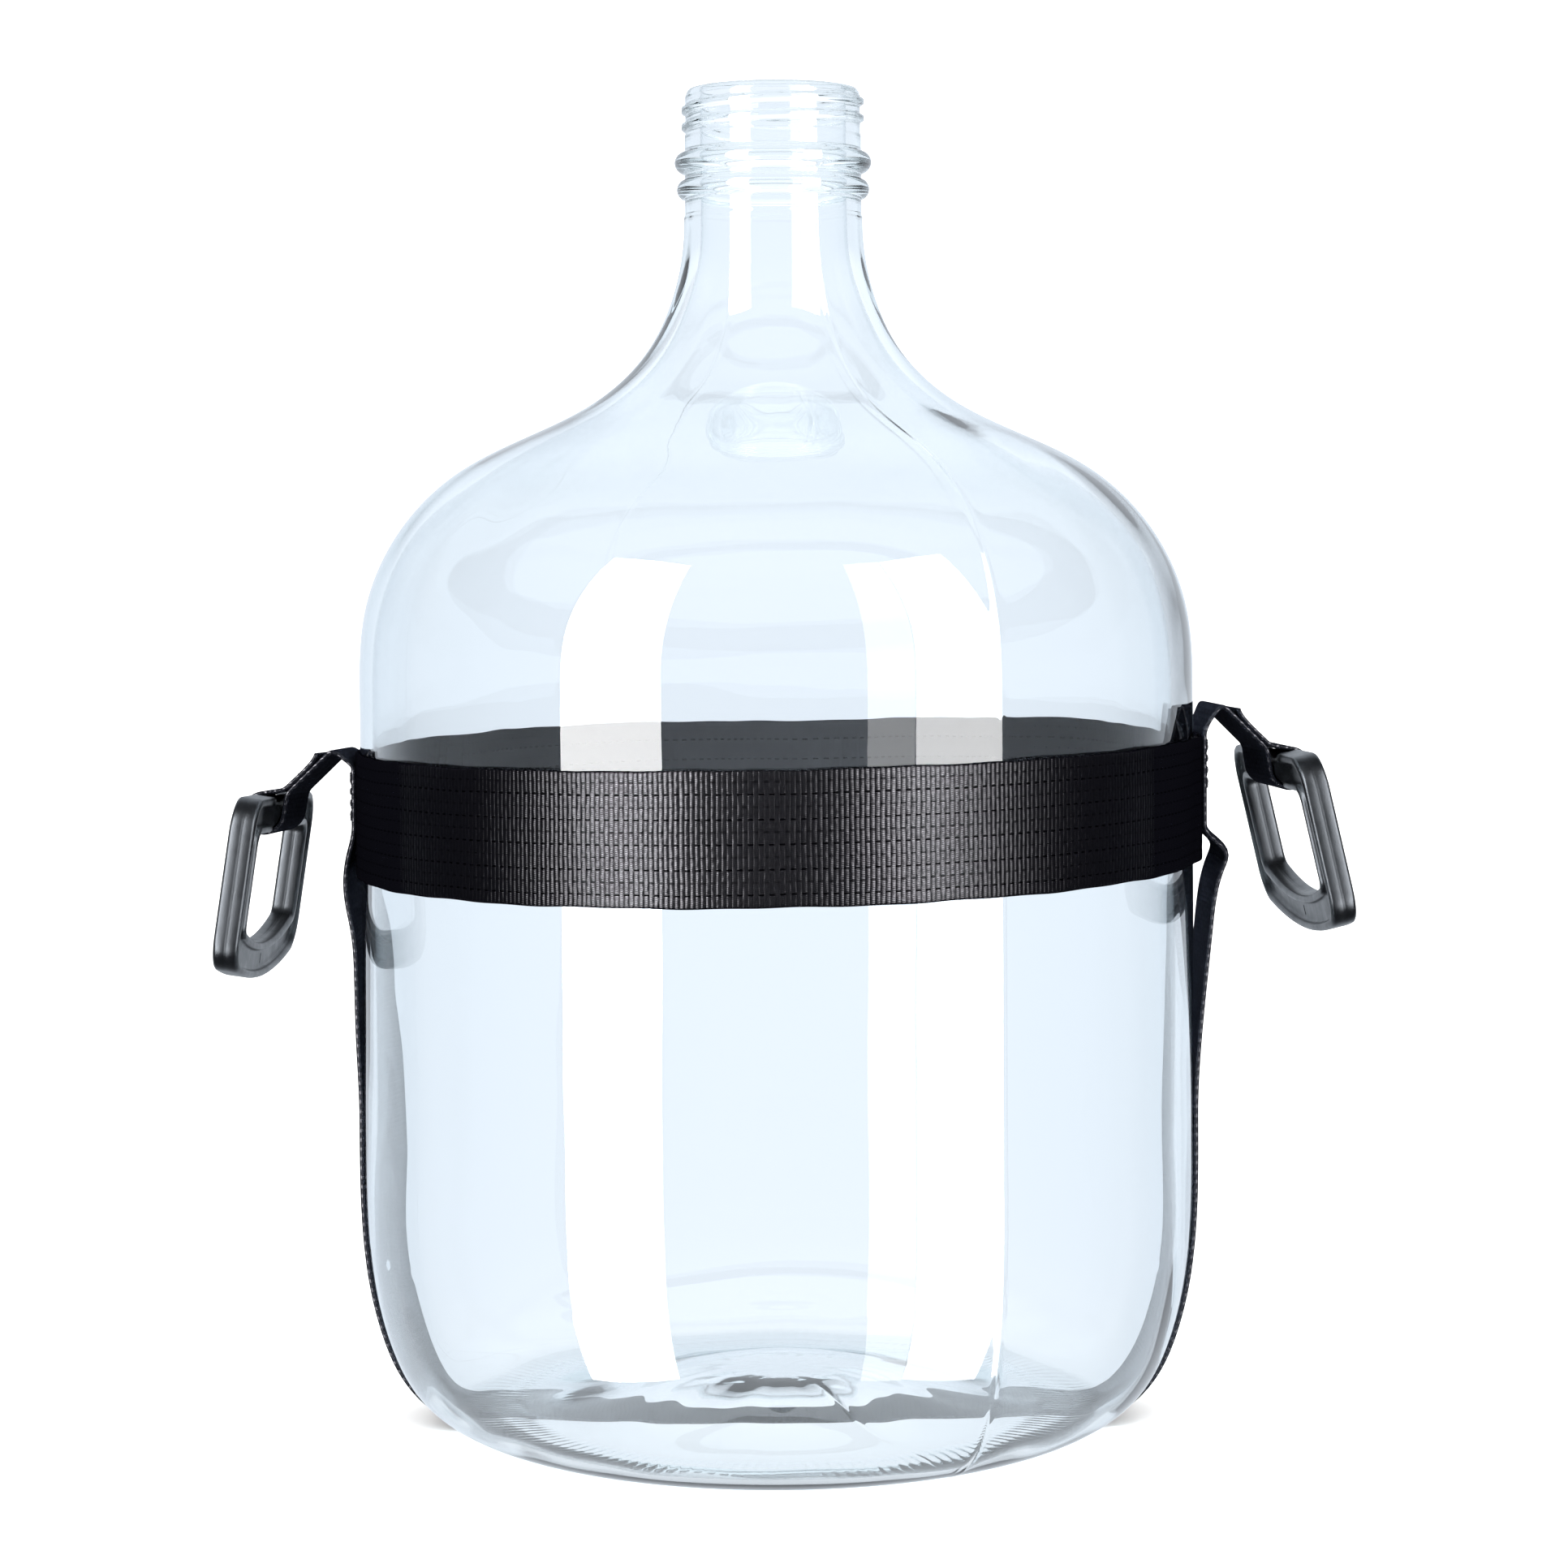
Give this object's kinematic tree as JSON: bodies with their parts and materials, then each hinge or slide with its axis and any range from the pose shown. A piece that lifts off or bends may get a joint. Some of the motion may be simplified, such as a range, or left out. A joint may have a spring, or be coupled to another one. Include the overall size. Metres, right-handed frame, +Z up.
{
  "type": "glass carboy in a carrying harness",
  "caption": "Round clear glass carboy with a beaded screw neck, held in a webbing harness whose sewn loops carry hinged moulded ring handles.",
  "frame": {"origin": "on the standing surface, under the middle of the bottle's base", "axes": "+Z up along the bottle's axis, +X towards the right-hand handle, -Y is the front between the two handles"},
  "size_m": [0.3581, 0.273, 0.4334],
  "materials": {
    "clear_glass": "clear, gloss, slightly blue-green at the thick edges",
    "webbing": "black woven polyester webbing with a slight sheen",
    "handle_plastic": "black moulded plastic, semi-gloss",
    "sewing_thread": "black polyester sewing thread"
  },
  "bodies": {
    "bottle": {"glass_bottle": "clear_glass", "belt": "webbing", "sling_strap": "webbing", "left_crossing_stitch": "sewing_thread", "right_crossing_stitch": "sewing_thread"},
    "left_tab": {"left_tab": "webbing", "left_tab_stitch": "sewing_thread"},
    "left_handle": {"left_handle": "handle_plastic"},
    "right_tab": {"right_tab": "webbing", "right_tab_stitch": "sewing_thread"},
    "right_handle": {"right_handle": "handle_plastic"}
  },
  "joints": [
    {"name": "left_tab_fold", "type": "hinge", "parent": "bottle", "child": "left_tab", "pos_m": [-0.1434, 0, 0.2188], "axis": [0.0331, 0.9983, -0.0488], "range_deg": [0, 110]},
    {"name": "left_handle_swing", "type": "hinge", "parent": "left_tab", "child": "left_handle", "pos_m": [-0.1641, -0.00024, 0.19993], "axis": [0.0331, 0.9983, -0.0488], "range_deg": [-20, 75]},
    {"name": "right_tab_fold", "type": "hinge", "parent": "bottle", "child": "right_tab", "pos_m": [0.1434, 0, 0.232], "axis": [0.068, -0.9975, 0.0192], "range_deg": [0, 110]},
    {"name": "right_handle_swing", "type": "hinge", "parent": "right_tab", "child": "right_handle", "pos_m": [0.16369, 0.00101, 0.21272], "axis": [0.068, -0.9975, 0.0192], "range_deg": [-20, 75]}
  ]
}
